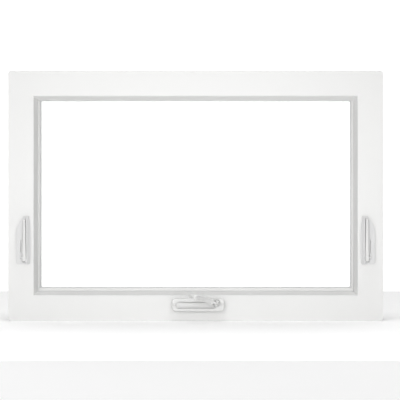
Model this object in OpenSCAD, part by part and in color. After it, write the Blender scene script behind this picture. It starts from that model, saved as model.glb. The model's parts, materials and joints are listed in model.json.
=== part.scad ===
// Awning window with a crank operator. A hollow vinyl frame holds a sash that swings
// out at the bottom on two four-bar hinges. A worm in the sill drives a pair of
// scissor arms, and a cam lock on each jamb pulls the sash shut.
// The room side faces -Y, the weather side faces +Y, and the origin is the middle of
// the sill's underside.

/* [Frame] */
// Width over the frame
frame_w = 914; // [760:1:1400]
// Height over the frame
frame_h = 610; // [505:1:740]
// Depth from the room face to the weather face
frame_d = 83; // [80:1:110]
// Width of the flat room face
face_w = 62; // [58:1:70]
// Width of the slope between the room face and the sash
slope_w = 8; // [5:1:10]
// Thickness of the leg behind the room face
leg_t = 22; // [20:1:28]
// Width of the outer box of the frame
box_w = 32; // [26:1:32]
// Wall of the vinyl profiles
wall = 2.5; // [2:0.1:3]
// Radius of the outer corners
corner_r = 8; // [2:0.5:14]

/* [Sash] */
// Depth of the sash
sash_d = 45; // [42:1:60]
// Gap between the frame's leg and the sash
stop_gap = 4; // [3.5:0.1:6]
// Inset of the sash's edge at the jambs and the head
edge_side = 56; // [54:1:58]
// Inset of the sash's edge at the sill
edge_sill = 64; // [64:1:68]
// Inset of the glass opening at the head
sight_head = 71; // [70:1:90]
// Inset of the glass opening at the jambs
sight_side = 75; // [72:1:90]
// Inset of the glass opening at the sill
sight_sill = 79; // [78:1:95]
// Gap between the sash's outer lip and the frame's box
lip_gap = 4; // [3:0.5:6]
// Thickness of the outer lip
lip_t = 4; // [3:0.5:6]
// Thickness of each glass pane
pane_t = 3; // [3:0.5:4]
// Air space between the panes
air_gap = 12; // [8:1:14]
// Clearance from the sash's channel to the edge of the glass
glass_gap = 1.5; // [1:0.5:3]
// Thickness of the glazing seals
seal_t = 2; // [1.5:0.5:3]
// Depth of the glazing beads
bead_d = 11; // [8:1:12]

/* [Hinges] */
// Furthest opening of the sash, in degrees
open_angle = 45; // [20:1:45]
// Distance from the sash's room face to the hinge line
hinge_in = 5.5; // [5:0.5:6]
// Drop of the shoe's pivot below the sash's top edge
shoe_drop = 4; // [3:0.5:5]
// Thickness of the hinge arms
hinge_t = 2.5; // [2:0.5:3]
// Width of the hinge arms
hinge_w = 14; // [12:1:16]
// Radius of the hinge pins
hinge_pin_r = 3; // [2:0.5:4]
// Width of the sliding track
track_w = 15; // [13:1:15]

/* [Operator] */
// Height of the crank shaft above the sill's underside
shaft_h = 45; // [44:0.5:46]
// Gear module
gear_m = 0.95; // [0.9:0.05:1]
// Teeth on a full gear, and turns of the worm for one turn of the gear
gear_teeth = 48; // [44:2:52]
// Thickness of the gears
gear_t = 3.2; // [2.5:0.1:4]
// Pitch radius of the worm
worm_r = 5; // [4.5:0.1:5.5]
// Thickness of the scissor arms
arm_t = 2; // [1.5:0.5:2]
// Width of the scissor arms
arm_w = 12; // [10:1:14]
// Radius of the balls on the sash bracket
ball_r = 4; // [3.5:0.5:4.5]
// Radius of the crank shaft's journals
journal_r = 4; // [3:0.5:4]
// Radius of the gear pivots and the elbow rivets
pivot_r = 3; // [2.5:0.5:3.5]

/* [Crank] */
// Width of the operator cover
cover_w = 128; // [124:1:150]
// Height of the operator cover
cover_h = 27; // [24:1:32]
// Depth of the operator cover
cover_d = 18; // [14:1:22]
// Sideways place of the cover's middle
cover_x = 6; // [4:1:10]
// Height of the cover's middle
cover_z = 38; // [36:1:40]
// Turn of the handle above the sill's line, in degrees
handle_roll = 20; // [0:1:40]
// Tilt of the handle out of the cover, in degrees
handle_tilt = 37; // [20:1:60]
// Length of the handle, pivot to knob
handle_l = 81; // [70:1:95]
// Length of the knob
knob_l = 20; // [14:1:26]

/* [Locks] */
// Height of the lock lever's pivot
lock_h = 155; // [145:1:200]
// Inset of the lever's middle
lock_in = 40; // [40:0.5:41]
// Height of the lock plate
plate_h = 117; // [110:1:125]
// Width of the lock plate
plate_w = 36; // [32:1:36]
// Thickness of the lock plate
plate_t = 4; // [3:0.5:5]
// Length of the lever above its pivot
lever_l = 94; // [80:1:100]
// Width of the lever
lever_w = 9.6; // [8:0.2:9.6]
// Radius of the lock pins
lock_pin_r = 2.5; // [2:0.5:3]

/* [Fasteners] */
// Shank radius of the screws
screw_r = 2; // [1.5:0.1:2.2]
// Head radius of the screws
head_r = 3.6; // [3:0.1:3.8]
// Height of the screw heads
head_h = 1.5; // [1.2:0.1:1.5]
// Radius of the installation holes through the jambs
install_r = 2.6; // [2:0.1:4]

/* [Hidden] */
$fn = 48;

// Clearances
run_gap = 0.05;
ball_gap = 0.1;
slip = 0.3;
far = 2000;

// Depths, along Y
room_y = -frame_d / 2;
weather_y = frame_d / 2;
leg_y = room_y + leg_t;
sash_y = leg_y + stop_gap;
sash_back_y = sash_y + sash_d;
hinge_y = sash_y + hinge_in;
glass_y = sash_y + bead_d + seal_t;
spacer_y = glass_y + pane_t;
outer_y = spacer_y + air_gap;
channel_y = outer_y + pane_t + seal_t;

// Insets of the frame's and the sash's rectangles: [side, head, sill]
lip_in = box_w + lip_gap;
full_in = face_w + slope_w;
frame_outer = [0, 0, 0];
frame_inner = [full_in, full_in, full_in];
lip_outer = [lip_in, lip_in, lip_in];
edge = [edge_side, edge_side, edge_sill];
sight = [sight_side, sight_head, sight_sill];
channel_t = 4.5;
channel = [for (e = edge) e + channel_t];
pane_edge = [for (e = channel) e + glass_gap];

// Operator: gears, arms and links lie in flat layers one above the other
gear_r = gear_m * gear_teeth / 2;
addendum = 0.75 * gear_m;
dedendum = 1.1 * gear_m;
thread_h = 1.15;
mesh_gap = 0.35;
worm_top = worm_r + thread_h;
shaft_x = 2 * gear_r + worm_r + mesh_gap;
gear_z = shaft_h - gear_t / 2;
arm_z = shaft_h + worm_top + 0.4;
link_z = arm_z + arm_t + slip;
ball_z = link_z + arm_t / 2;
floor_z = box_w;
floor_t = 2.5;
rivet_h = 1.2;

// The four-bar hinge closes exactly: both its halves are as long as the scissor arms
shoe_z = frame_h - edge_side - shoe_drop;
half_l = (shoe_z - ball_z) / 2;
mid_z = ball_z + half_l;
elbow_x = gear_r + half_l;

// Hinge layers, as insets from the outside of the jamb
track_t = 1.5;
track_lip = 6;
arm_in = box_w + 12;
bar_t = 2.2;
bar_in = edge_side - bar_t;
shoe_in = box_w + track_t + 0.5;
shoe_h = 30;
track_low = ball_z - 12;
track_high = shoe_z + shoe_h / 2 - 6;

// Crank
hub_r = 7.5;
hub_y = room_y - cover_d - 7;
fork_y = hub_y - 4;
fork_gap = 6;
crank_pin_r = 2;
arm_d = 5;
arm_tip = 9;
arm_root = 15;
arm_root_x = 12;
knob_r = 7;
cover_skin = 2.5;
nest_d = 5;
groove_d = 9;
groove_h = 2.8;

// Locks
lever_y = room_y - plate_t - 1;
hook_z = lock_h + 8;
hook_y = leg_y - 8;
hook_in = 49;
hook_t = 2.5;
keep_t = 2;
keep_h = 8;
keep_y = leg_y + 7;
keep_reach = keep_y + keep_t - hook_y;
hook_ring = 3;
hook_turn = 60;
pocket_low = lock_h - 14;
pocket_high = lock_h + 34;
pocket_in = box_w + 1.2;
pocket_out = 54;
cheek_t = 2;
plate_low = lock_h - 17;
plate_near = 16;
plate_tip = 18;
plate_round = 6;
plate_side_r = 520;
lever_tail = 10.3;
shoulder_d = 10;

// Screw places
track_screws = [for (i = [0:3]) track_low + 14 + i * (track_high - track_low - 60) / 3];
bar_screws = [shoe_z - 20, (shoe_z + mid_z) / 2, mid_z + 22];
base_screws = [[-41, hinge_y + 12], [34, hinge_y + 12], [-41, room_y + 8], [34, room_y + 8]];
cover_screws = [cover_x - cover_w / 2 + 6, cover_x + cover_w / 2 - 6];
plate_screws = [lock_h + 42, lock_h + 72];
bracket_screws = [-gear_r - 15, gear_r + 15];
install_z = [120, frame_h - 120];
install_y = 14;

white = "white";
enamel = "gainsboro";
steel = "lightsteelblue";

// ---------- Rings of four mitred sides ----------

// Corner of an inset rectangle: sx is -1 or 1, top is 0 or 1
function corner(in, sx, top) = [
    sx * (frame_w / 2 - in[0]),
    top == 1 ? frame_h - in[1] : in[2]
];

// Prism that holds one mitred side between two inset rectangles
module side_prism(side, outer, inner) {
    ends = side == "sill" ? [[-1, 0], [1, 0]]
         : side == "head" ? [[1, 1], [-1, 1]]
         : side == "left" ? [[-1, 1], [-1, 0]]
         : [[1, 0], [1, 1]];
    rotate([90, 0, 0])
        linear_extrude(far, center = true)
            polygon([
                corner(outer, ends[0][0], ends[0][1]),
                corner(outer, ends[1][0], ends[1][1]),
                corner(inner, ends[1][0], ends[1][1]),
                corner(inner, ends[0][0], ends[0][1])
            ]);
}

// Sweeps a profile, drawn as inset against depth, along one side of the frame
module along(side) {
    if (side == "sill")
        rotate([0, -90, 0])
            linear_extrude(frame_w, center = true) children();
    if (side == "head")
        translate([0, 0, frame_h]) mirror([0, 0, 1]) rotate([0, -90, 0])
            linear_extrude(frame_w, center = true) children();
    if (side == "left")
        translate([-frame_w / 2, 0, 0])
            linear_extrude(frame_h) children();
    if (side == "right")
        mirror([1, 0, 0]) translate([-frame_w / 2, 0, 0])
            linear_extrude(frame_h) children();
}

module mitred(side, outer, inner) {
    intersection() {
        along(side) children();
        side_prism(side, outer, inner);
    }
}

// Draws its children at the left jamb, X counted inwards from its outer face
module at_jamb(side) {
    mirror([side == "right" ? 1 : 0, 0, 0])
        translate([-frame_w / 2, 0, 0])
            children();
}

// Cylinder along X, Y or Z, from its first end
module rod_x(r, l) {
    rotate([0, 90, 0]) cylinder(r = r, h = l);
}

module rod_y(r, l) {
    rotate([-90, 0, 0]) cylinder(r = r, h = l);
}

// Flat-headed screw with its head's top at the origin, pointing down
module screw(shank) {
    translate([0, 0, -head_h]) cylinder(r = head_r, h = head_h);
    translate([0, 0, -head_h - shank]) cylinder(r = screw_r, h = shank);
}

// The hole that such a screw fills
module screw_hole(shank) {
    translate([0, 0, -head_h]) cylinder(r = head_r, h = head_h + 1);
    translate([0, 0, -head_h - shank]) cylinder(r = screw_r, h = shank + 0.1);
}

// Flat bar with round ends, from the origin along X, with a hole at each end
module bar(l, w, t, r0, r1) {
    difference() {
        union() {
            cylinder(r = w / 2, h = t);
            translate([l, 0, 0]) cylinder(r = w / 2, h = t);
            translate([0, -w / 2, 0]) cube([l, w, t]);
        }
        translate([0, 0, -1]) cylinder(r = r0, h = t + 2);
        translate([l, 0, -1]) cylinder(r = r1, h = t + 2);
    }
}

// ---------- Frame ----------

module frame_profile() {
    slope = slope_w / leg_t;
    difference() {
        polygon([
            [0, room_y], [face_w, room_y], [full_in, leg_y],
            [box_w, leg_y], [box_w, weather_y], [0, weather_y]
        ]);
        translate([wall, room_y + wall])
            square([box_w - 2 * wall, leg_t - 2 * wall]);
        polygon([
            [box_w, room_y + wall], [face_w - wall + slope * wall, room_y + wall],
            [full_in - wall - slope * wall - 0.5, leg_y - wall], [box_w, leg_y - wall]
        ]);
        translate([wall, leg_y])
            square([box_w - 2 * wall, (weather_y - leg_y - wall) / 2]);
        translate([wall, (weather_y + leg_y + wall) / 2])
            square([box_w - 2 * wall, (weather_y - leg_y - 3 * wall) / 2]);
    }
}

// Outline of the whole frame with its corners rounded
module frame_outline() {
    rotate([90, 0, 0])
        linear_extrude(far, center = true)
            union() {
                translate([-frame_w / 2, corner_r])
                    square([frame_w, frame_h - 2 * corner_r]);
                translate([-frame_w / 2 + corner_r, 0])
                    square([frame_w - 2 * corner_r, frame_h]);
                for (sx = [-1, 1])
                    for (z = [corner_r, frame_h - corner_r])
                        translate([sx * (frame_w / 2 - corner_r), z]) circle(corner_r);
            }
}

module frame_side(side) {
    intersection() {
        mitred(side, frame_outer, frame_inner) frame_profile();
        frame_outline();
    }
}

// Opening in the sill's leg that the operator's base fills
module operator_cut() {
    translate([-46, room_y - 1, floor_z])
        cube([shaft_x + 10 + 46, leg_t + 2, arm_z - floor_z - 1]);
}

module frame_sill() {
    color(white)
        difference() {
            frame_side("sill");
            operator_cut();
            for (p = base_screws)
                translate([p[0], p[1], floor_z - wall - 1])
                    cylinder(r = screw_r, h = wall + 2);
            for (x = cover_screws)
                translate([x, room_y - 1, cover_z]) rod_y(screw_r, wall + 2);
        }
}

module frame_head() {
    color(white) frame_side("head");
}

module frame_jamb(side) {
    color(white)
        difference() {
            frame_side(side);
            at_jamb(side) {
                translate([pocket_in, room_y - 1, pocket_low])
                    cube([pocket_out - pocket_in, leg_t + 2, pocket_high - pocket_low]);
                for (z = track_screws)
                    translate([box_w - wall - 1, hinge_y, z]) rod_x(screw_r, wall + 2);
                for (z = install_z)
                    translate([-1, install_y, z]) rod_x(install_r, box_w + 2);
                for (z = plate_screws)
                    translate([lock_in, room_y - 1, z]) rod_y(screw_r, wall + 2);
            }
        }
}

module strip_profile() {
    translate([full_in - 5, leg_y]) square([3, stop_gap - 1.9]);
}

module weatherstrip() {
    color("dimgray")
        for (side = ["sill", "head", "left", "right"])
            mitred(side, frame_outer, frame_inner) strip_profile();
}

// ---------- Sash ----------

module sash_profile(i) {
    difference() {
        polygon([
            [edge[i], sash_y], [channel[i], sash_y], [channel[i], channel_y],
            [sight[i], channel_y], [sight[i], sash_back_y - 2], [sight[i] - 2, sash_back_y],
            [lip_in, sash_back_y], [lip_in, sash_back_y - lip_t],
            [edge[i], sash_back_y - lip_t]
        ]);
        translate([edge[i] + wall, channel_y + wall])
            square([
                sight[i] - edge[i] - 2 * wall,
                sash_back_y - channel_y - 2 * wall
            ]);
    }
}

module sash_side(side, i) {
    mitred(side, lip_outer, sight) sash_profile(i);
}

module sash_top_rail() {
    color(white) sash_side("head", 1);
}

module sash_bottom_rail() {
    color(white)
        difference() {
            sash_side("sill", 2);
            for (x = bracket_screws)
                translate([x, hinge_y + 6, edge_sill - 1]) cylinder(r = screw_r, h = channel_t + 2);
        }
}

module sash_stile(side) {
    color(white)
        difference() {
            sash_side(side, 0);
            at_jamb(side) {
                for (z = bar_screws)
                    translate([edge_side - 1, hinge_y, z]) rod_x(screw_r, channel_t + 2);
                for (z = [hook_z - 9, hook_z + 9])
                    translate([edge_side - 1, hinge_y + 5, z]) rod_x(screw_r, channel_t + 2);
            }
        }
}

module bead_profile(i) {
    lead = 3;
    difference() {
        polygon([
            [channel[i], sash_y], [sight[i] - lead, sash_y], [sight[i], sash_y + lead],
            [sight[i], sash_y + bead_d], [channel[i], sash_y + bead_d]
        ]);
        translate([channel[i] + 1.5, sash_y + lead])
            square([sight[i] - channel[i] - 3, bead_d - lead - 1.5]);
    }
}

module bead(side, i) {
    color(white) mitred(side, lip_outer, sight) bead_profile(i);
}

// Upright slab between two depths, bounded by an inset rectangle
module pane(in, y0, t) {
    low = corner(in, -1, 0);
    high = corner(in, 1, 1);
    translate([low[0], y0, low[1]]) cube([high[0] - low[0], t, high[1] - low[1]]);
}

// The same slab with a rectangle cut out of it
module pane_ring(outer, inner, y0, t) {
    difference() {
        pane(outer, y0, t);
        pane(inner, y0 - 1, t + 2);
    }
}

module glass_inner() {
    color("lightcyan", 0.4) pane(pane_edge, glass_y, pane_t);
}

module glass_outer() {
    color("lightcyan", 0.4) pane(pane_edge, outer_y, pane_t);
}

module glass_spacer() {
    inner = [for (e = sight) e + 1];
    color("silver") pane_ring(pane_edge, inner, spacer_y, air_gap);
}

module glazing_seals() {
    show = [for (e = sight) e + 2];
    color("gray") {
        pane_ring(pane_edge, show, glass_y - seal_t, seal_t);
        pane_ring(pane_edge, sight, outer_y + pane_t, seal_t);
    }
}

module setting_blocks() {
    block_l = 80;
    quarter = frame_w / 2 - pane_edge[0];
    color("dimgray")
        for (sx = [-1, 1])
            translate([sx * quarter / 2 - block_l / 2, glass_y, channel[2]])
                cube([block_l, outer_y + pane_t - glass_y, glass_gap]);
}

// ---------- Hinges ----------

module track(side) {
    at_jamb(side)
        difference() {
            union() {
                translate([box_w, hinge_y - track_w / 2, track_low])
                    cube([track_t, track_w, track_high - track_low]);
                for (y = [hinge_y - track_w / 2, hinge_y + track_w / 2 - track_t])
                    translate([box_w, y, track_low])
                        cube([track_lip, track_t, track_high - track_low]);
                translate([box_w, hinge_y, ball_z]) rod_x(hinge_pin_r + 2, arm_in - box_w - slip);
                translate([box_w, hinge_y, ball_z]) rod_x(hinge_pin_r, arm_in - box_w + hinge_t);
            }
            for (z = track_screws)
                translate([box_w + track_t, hinge_y, z]) rotate([0, 90, 0]) screw_hole(far / 10);
        }
}

module hinge_tracks() {
    color(steel) {
        track("left");
        track("right");
    }
}

module hinge_screws() {
    color("silver")
        for (side = ["left", "right"])
            at_jamb(side)
                for (z = track_screws)
                    translate([box_w + track_t, hinge_y, z]) rotate([0, 90, 0]) screw(6);
}

module hinge_arm(side) {
    color(steel)
        at_jamb(side)
            translate([arm_in, hinge_y, ball_z]) rotate([0, 90, 0]) mirror([1, 0, 0])
                bar(half_l, hinge_w, hinge_t, hinge_pin_r + run_gap, hinge_pin_r + run_gap);
}

module hinge_shoe(side) {
    shoe_w = track_w - 2 * track_t - 2 * slip;
    shoe_t = arm_in - shoe_in - 3;
    color("dimgray")
        at_jamb(side)
            difference() {
                translate([shoe_in, hinge_y - shoe_w / 2, shoe_z - shoe_h / 2])
                    cube([shoe_t, shoe_w, shoe_h]);
                translate([shoe_in - 1, hinge_y, shoe_z]) rod_x(hinge_pin_r + run_gap, far / 10);
            }
}

module sash_bar(side) {
    bar_low = mid_z - 10;
    bar_high = shoe_z + 3;
    bar_w = 10;
    at_jamb(side)
        difference() {
            union() {
                translate([bar_in, hinge_y - bar_w / 2, bar_low])
                    cube([bar_t, bar_w, bar_high - bar_low]);
                translate([arm_in + hinge_t + slip, hinge_y, mid_z])
                    rod_x(hinge_pin_r + 1.5, bar_in - arm_in - hinge_t - slip);
                translate([arm_in - 1, hinge_y, mid_z]) rod_x(hinge_pin_r, bar_in - arm_in + 1);
                translate([shoe_in + 0.5, hinge_y, shoe_z])
                    rod_x(hinge_pin_r, bar_in - shoe_in - 0.5);
            }
            for (z = bar_screws)
                translate([bar_in, hinge_y, z]) rotate([0, -90, 0]) screw_hole(far / 10);
        }
}

module hinge_sash_bars() {
    color(steel) {
        sash_bar("left");
        sash_bar("right");
    }
}

// ---------- Scissor operator ----------

// Outline of a toothed sector, swept from angle a0 to a1
module tooth_ring(a0, a1) {
    pitch = 360 / gear_teeth;
    tip = gear_r + addendum;
    root = gear_r - dedendum;
    first = ceil(a0 / pitch);
    last = floor(a1 / pitch);
    polygon(concat(
        [[0, 0]],
        [for (i = [first:last])
            for (p = [[root, -0.27], [gear_r, -0.2], [tip, -0.11], [tip, 0.11],
                      [gear_r, 0.2], [root, 0.27]])
                let (a = i * pitch + p[1] * pitch)
                [p[0] * cos(a), p[0] * sin(a)]]
    ));
}

// Right-hand sector gear about its own pivot: one arc meets the other gear, one the worm
module sector_gear() {
    boss_r = pivot_r + 4;
    difference() {
        union() {
            linear_extrude(gear_t) {
                tooth_ring(180 - open_angle - 16, 180 + 16);
                circle(boss_r);
            }
            linear_extrude(gear_t) tooth_ring(-open_angle - 16, 16);
            cylinder(r = boss_r, h = arm_z - gear_z);
        }
        translate([0, 0, -1]) cylinder(r = pivot_r + run_gap, h = far / 10);
    }
}

module drive_gear_right() {
    color(steel)
        translate([gear_r, hinge_y, gear_z]) sector_gear();
}

// The left gear is the mirror image, turned by half a tooth to mesh
module drive_gear_left() {
    half_tooth = 180 / gear_teeth;
    color(steel)
        translate([-gear_r, hinge_y, gear_z])
            rotate([0, 0, half_tooth])
                mirror([1, 0, 0]) sector_gear();
}

module drive_arm(sx) {
    color("silver")
        mirror([sx < 0 ? 1 : 0, 0, 0])
            translate([gear_r, hinge_y, arm_z])
                bar(half_l, arm_w, arm_t, pivot_r + run_gap, pivot_r);
}

module elbow_rivet(sx) {
    color("silver")
        translate([sx * elbow_x, hinge_y, arm_z - rivet_h]) {
            cylinder(r = pivot_r + 2, h = rivet_h);
            cylinder(r = pivot_r, h = rivet_h + 2 * arm_t + slip + run_gap);
            translate([0, 0, rivet_h + 2 * arm_t + slip + run_gap])
                cylinder(r = pivot_r + 2, h = rivet_h);
        }
}

module link(sx) {
    ring_r = ball_r + 4;
    color("silver")
        mirror([sx < 0 ? 1 : 0, 0, 0])
            translate([gear_r, hinge_y, link_z])
                difference() {
                    union() {
                        cylinder(r = ring_r, h = arm_t);
                        bar(half_l, arm_w, arm_t, 1, pivot_r + run_gap);
                    }
                    translate([0, 0, -1]) cylinder(r = ball_r + ball_gap, h = arm_t + 2);
                }
}

module sash_bracket() {
    plate_l = 2 * gear_r + 50;
    plate_d = 17;
    color(steel)
        difference() {
            translate([-plate_l / 2, hinge_y - 4, edge_sill - bar_t])
                cube([plate_l, plate_d, bar_t]);
            for (x = bracket_screws)
                translate([x, hinge_y + 6, edge_sill - bar_t])
                    rotate([180, 0, 0]) screw_hole(far / 10);
            for (sx = [-1, 1])
                translate([sx * gear_r, hinge_y, 0]) cylinder(r = ball_r / 2, h = far / 10);
        }
}

module ball_studs() {
    color("silver")
        for (sx = [-1, 1])
            translate([sx * gear_r, hinge_y, ball_z]) {
                intersection() {
                    sphere(r = ball_r);
                    translate([-ball_r, -ball_r, 0.1 - arm_t / 2]) cube(2 * ball_r);
                }
                cylinder(r = ball_r / 2, h = edge_sill - ball_z);
            }
}

module gear_pivots() {
    color("silver")
        for (sx = [-1, 1])
            translate([sx * gear_r, hinge_y, floor_z]) {
                cylinder(r = pivot_r, h = arm_z + arm_t - floor_z);
                translate([0, 0, floor_t]) cylinder(r = pivot_r + 3, h = gear_z - floor_z - floor_t - 0.2);
            }
}

// Cast tray in the sill, with a bearing wall before and behind the worm
module operator_base() {
    tray_x0 = -45.5;
    tray_l = shaft_x + 9.5 - tray_x0;
    tray_back = hinge_y + 17;
    bearing_w = 16;
    bearing_side = 7;
    front_y = room_y + 3;
    rear_y = hinge_y + 11;
    color("silver")
        difference() {
            union() {
                translate([tray_x0, room_y + 0.5, floor_z])
                    cube([tray_l, tray_back - room_y - 0.5, floor_t]);
                translate([shaft_x - bearing_side, front_y, floor_z])
                    cube([bearing_w, 7, arm_z - 1.2 - floor_z]);
                translate([shaft_x - bearing_side, rear_y, floor_z])
                    cube([bearing_w, 5, arm_z - 0.5 - floor_z]);
            }
            translate([shaft_x, front_y - 1, shaft_h]) rod_y(journal_r + 1.5, far / 10);
            for (p = base_screws)
                translate([p[0], p[1], floor_z - 1]) cylinder(r = screw_r, h = far / 10);
            for (sx = [-1, 1])
                translate([sx * gear_r, hinge_y, floor_z - 1]) cylinder(r = pivot_r, h = far / 10);
        }
}

module bushing(y, l) {
    translate([shaft_x, y, shaft_h])
        difference() {
            rod_y(journal_r + 1.5, l);
            translate([0, -1, 0]) rod_y(journal_r + run_gap, l + 2);
        }
}

module worm_bushings() {
    color("goldenrod") {
        bushing(room_y + 3, 7);
        bushing(hinge_y + 11, 5);
    }
}

// Shaft along Y with a single-start thread that meets the right gear
module worm_shaft() {
    pitch = PI * gear_m;
    turns = 5;
    steps = 10;
    worm_l = turns * pitch;
    color("silver")
        translate([shaft_x, 0, shaft_h]) {
            translate([0, hinge_y - worm_l / 2, 0])
                rotate([-90, 0, 0])
                    linear_extrude(worm_l, twist = 360 * turns, slices = steps * turns)
                        translate([-thread_h, 0]) circle(worm_r, $fn = 16);
            translate([0, hinge_y + worm_l / 2, 0])
                rod_y(journal_r, 7 + 11 - worm_l / 2 - 2);
            translate([0, hub_y + 6, 0]) rod_y(journal_r, hinge_y - worm_l / 2 - hub_y - 6);
        }
}

module operator_screws() {
    color("silver") {
        for (p = base_screws)
            translate([p[0], p[1], floor_z + floor_t + head_h]) screw(7);
        for (x = cover_screws)
            translate([x, room_y - cover_skin - head_h, cover_z]) rotate([90, 0, 0]) screw(7);
    }
}

// Rounded slab that faces the room, from depth y0 towards -Y
module slab(w, h, r, y0, t) {
    translate([0, y0, 0])
        rotate([90, 0, 0])
            linear_extrude(t)
                union() {
                    square([w - 2 * r, h], center = true);
                    square([w, h - 2 * r], center = true);
                    for (sx = [-1, 1])
                        for (sz = [-1, 1])
                            translate([sx * (w / 2 - r), sz * (h / 2 - r)]) circle(r);
                }
}

// Moulded cover with a nest for the handle and a hole for the shaft
module operator_cover() {
    round_r = 10;
    nest_l = 98;
    nest_h = 17;
    nest_r = 6;
    color(enamel)
        difference() {
            union() {
                translate([cover_x, 0, cover_z])
                    difference() {
                        union() {
                            slab(cover_w, cover_h, round_r, room_y, cover_d - 4);
                            slab(cover_w - 3, cover_h - 3, round_r - 1.5, room_y, cover_d);
                        }
                        slab(
                            cover_w - 2 * cover_skin - 3, cover_h - 2 * cover_skin - 3,
                            round_r - cover_skin, room_y + 1, cover_d - groove_d - cover_skin
                        );
                    }
                translate([shaft_x, room_y - cover_d, shaft_h])
                    rod_y(hub_r + 1 + cover_skin, cover_d);
            }
            translate([shaft_x - nest_l / 2 - 1, 0, cover_z - 1]) {
                slab(nest_l, nest_h, nest_r, room_y - cover_d + nest_d, nest_d + 1);
                for (sz = [-1, 1])
                    translate([0, 0, sz * (nest_h - groove_h) / 2])
                        slab(
                            nest_l - 2 * nest_r, groove_h, 1,
                            room_y - cover_d + groove_d, groove_d
                        );
            }
            translate([shaft_x, room_y - far / 10, shaft_h]) rod_y(hub_r + 1, far / 10);
            for (x = cover_screws)
                translate([x, room_y - cover_skin - head_h, cover_z])
                    rotate([90, 0, 0]) screw_hole(far / 10);
            for (x = cover_screws)
                translate([x, room_y - cover_skin - head_h, cover_z])
                    rotate([90, 0, 0]) cylinder(r = head_r, h = cover_d);
        }
}

// ---------- Crank handle ----------

// Puts its children in the handle's own frame: the arm runs along -X from its pivot
// Push-in caps that hide the cover's screws
module cover_caps() {
    cap_t = 2;
    color(enamel)
        for (x = cover_screws)
            translate([x, room_y - cover_d + 1, cover_z]) rod_y(head_r - run_gap, cap_t);
}

module at_handle(tilt) {
    translate([shaft_x, fork_y, shaft_h])
        rotate([0, handle_roll, 0])
            rotate([0, 0, tilt])
                children();
}

module crank_hub() {
    skirt_y = room_y - cover_d + 4;
    cheek = 3.5;
    color(enamel)
        difference() {
            union() {
                translate([shaft_x, hub_y, shaft_h]) rod_y(hub_r, skirt_y - hub_y);
                at_handle(0)
                    for (sz = [-1, 1])
                        translate([0, 0, sz * (fork_gap / 2 + cheek / 2) - cheek / 2]) {
                            cylinder(r = 5, h = cheek);
                            translate([-5, 0, 0]) cube([10, 5, cheek]);
                        }
            }
            translate([shaft_x, hub_y + 6, shaft_h]) rod_y(journal_r, far / 10);
            at_handle(0) cylinder(r = crank_pin_r, h = far / 10, center = true);
        }
}

module crank_pin() {
    color("silver")
        at_handle(0) cylinder(r = crank_pin_r, h = fork_gap + 7, center = true);
}

module crank_arm() {
    tongue = fork_gap - 2 * slip;
    color(enamel)
        at_handle(handle_tilt)
            difference() {
                union() {
                    cylinder(r = 3.7, h = tongue, center = true);
                    translate([-arm_root_x - 2, -arm_d / 2, -tongue / 2])
                        cube([arm_root_x + 2, arm_d, tongue]);
                    rotate([90, 0, 0])
                        linear_extrude(arm_d, center = true)
                            polygon([
                                [-handle_l, -arm_tip / 2], [-arm_root_x, -arm_root / 2],
                                [-arm_root_x, arm_root / 2], [-handle_l, arm_tip / 2]
                            ]);
                    translate([-handle_l, -arm_d / 2, 0]) rod_y(6.5, arm_d);
                }
                cylinder(r = crank_pin_r + run_gap, h = far / 10, center = true);
                translate([-handle_l, -far / 20, 0]) rod_y(crank_pin_r, far / 10);
            }
}

module knob_rivet() {
    rivet_l = arm_d + knob_l + 1;
    color("silver")
        at_handle(handle_tilt) {
            translate([-handle_l, arm_d / 2 - rivet_l, 0]) rod_y(crank_pin_r, rivet_l);
            translate([-handle_l, arm_d / 2 - rivet_l - 1, 0]) rod_y(crank_pin_r + 1.2, 1);
        }
}

module crank_knob() {
    color(enamel)
        at_handle(handle_tilt)
            translate([-handle_l, -arm_d / 2 - slip, 0])
                rotate([90, 0, 0])
                    rotate_extrude()
                        difference() {
                            polygon([
                                [0, 0], [knob_r - 2, 0], [knob_r - 1, 1], [knob_r - 2, 6],
                                [knob_r, knob_l - 5], [knob_r - 1, knob_l - 1.5],
                                [knob_r - 2.5, knob_l - 0.2], [0, knob_l - 0.2]
                            ]);
                            square([crank_pin_r + run_gap, knob_l + 1]);
                        }
}

// ---------- Jamb locks ----------

// Outline of the lock plate, inset against height. Its upper outer side is one arc, and a
// wide arc trims the side towards the glass.
module plate_outline() {
    near = lock_in + plate_near;
    shoulder_z = plate_low + 0.58 * plate_h;
    rise = plate_low + plate_h - shoulder_z;
    narrow = plate_w - plate_tip;
    arc_r = (narrow * narrow + rise * rise) / (2 * narrow);
    intersection() {
        union() {
            translate([near - plate_w, plate_low + plate_round])
                square([plate_w, shoulder_z - plate_low - plate_round]);
            translate([near - plate_w + plate_round, plate_low])
                square([plate_w - 2 * plate_round, plate_round + 1]);
            for (x = [near - plate_w + plate_round, near - plate_round])
                translate([x, plate_low + plate_round]) circle(plate_round);
            intersection() {
                translate([near - plate_w + arc_r, shoulder_z]) circle(arc_r, $fn = 160);
                translate([near - plate_w, shoulder_z - 1]) square([plate_w, rise + 1]);
            }
        }
        translate([near - plate_side_r, plate_low + 0.42 * plate_h])
            circle(plate_side_r, $fn = 360);
    }
}

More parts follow.
